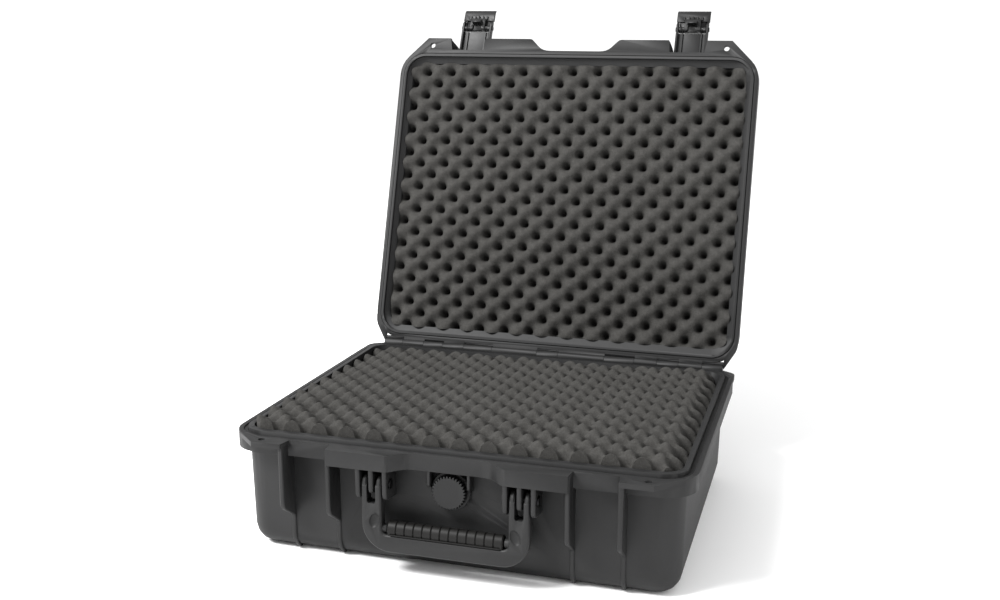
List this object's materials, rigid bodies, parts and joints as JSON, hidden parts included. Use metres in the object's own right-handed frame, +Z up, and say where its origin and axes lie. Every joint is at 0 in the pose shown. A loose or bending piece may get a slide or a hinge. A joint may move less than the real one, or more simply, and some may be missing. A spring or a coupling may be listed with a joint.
{
  "type": "hard equipment case",
  "caption": "Moulded plastic equipment case with a hinged lid, egg-crate foam lining, lever latches, a folding carry handle and a pressure valve.",
  "frame": {"origin": "centre of the flat underside of the base shell", "axes": "+Z up through the open base, -Y out of the front with the handle and latches, +Y out of the back with the hinge, +X to the right seen from the front"},
  "size_m": [0.5, 0.6272, 0.5851],
  "materials": {
    "shell_plastic": "matte",
    "latch_plastic": "satin",
    "rubber": "matte",
    "steel": "satin",
    "foam": "matte"
  },
  "bodies": {
    "base": {"base_shell": "shell_plastic", "rim_seal": "rubber", "hinge_pin_right": "steel", "hinge_pin_left": "steel", "handle_pin_right": "steel", "handle_pin_left": "steel", "valve_body": "shell_plastic", "valve_gasket": "rubber", "valve_membrane": "rubber", "valve_nut": "shell_plastic", "base_foam_bottom": "foam", "base_foam_middle": "foam", "base_foam_top": "foam"},
    "lid": {"lid_shell": "shell_plastic", "lid_foam": "foam", "latch_left_lid_pin": "steel", "latch_right_lid_pin": "steel"},
    "latch_left": {"latch_left_link": "latch_plastic", "latch_left_lever_pin": "steel"},
    "latch_left_lever": {"latch_left_lever": "latch_plastic"},
    "latch_right": {"latch_right_link": "latch_plastic", "latch_right_lever_pin": "steel"},
    "latch_right_lever": {"latch_right_lever": "latch_plastic"},
    "handle": {"handle_frame": "shell_plastic", "handle_grip": "rubber"},
    "valve_knob": {"valve_knob": "shell_plastic"}
  },
  "joints": [
    {"name": "lid_hinge", "type": "hinge", "parent": "base", "child": "lid", "pos_m": [0, 0.2126, 0.132], "axis": [-1, 0, 0], "range_deg": [-107.3, 0]},
    {"name": "latch_left_swing", "type": "hinge", "parent": "lid", "child": "latch_left", "pos_m": [-0.1536, 0.36402, 0.52401], "axis": [-1, 0, 0], "range_deg": [-98, 0]},
    {"name": "latch_left_pull", "type": "hinge", "parent": "latch_left", "child": "latch_left_lever", "pos_m": [-0.1536, 0.38559, 0.56027], "axis": [-1, 0, 0], "range_deg": [0, 60]},
    {"name": "latch_right_swing", "type": "hinge", "parent": "lid", "child": "latch_right", "pos_m": [0.1536, 0.36402, 0.52401], "axis": [-1, 0, 0], "range_deg": [-98, 0]},
    {"name": "latch_right_pull", "type": "hinge", "parent": "latch_right", "child": "latch_right_lever", "pos_m": [0.1536, 0.38559, 0.56027], "axis": [-1, 0, 0], "range_deg": [0, 60]},
    {"name": "handle_swing", "type": "hinge", "parent": "base", "child": "handle", "pos_m": [0, -0.2099, 0.0985], "axis": [-1, 0, 0], "range_deg": [0, 95]},
    {"name": "valve_turn", "type": "hinge", "parent": "base", "child": "valve_knob", "pos_m": [0, -0.2, 0.0925], "axis": [0, -1, 0], "range_deg": [0, 180]}
  ]
}
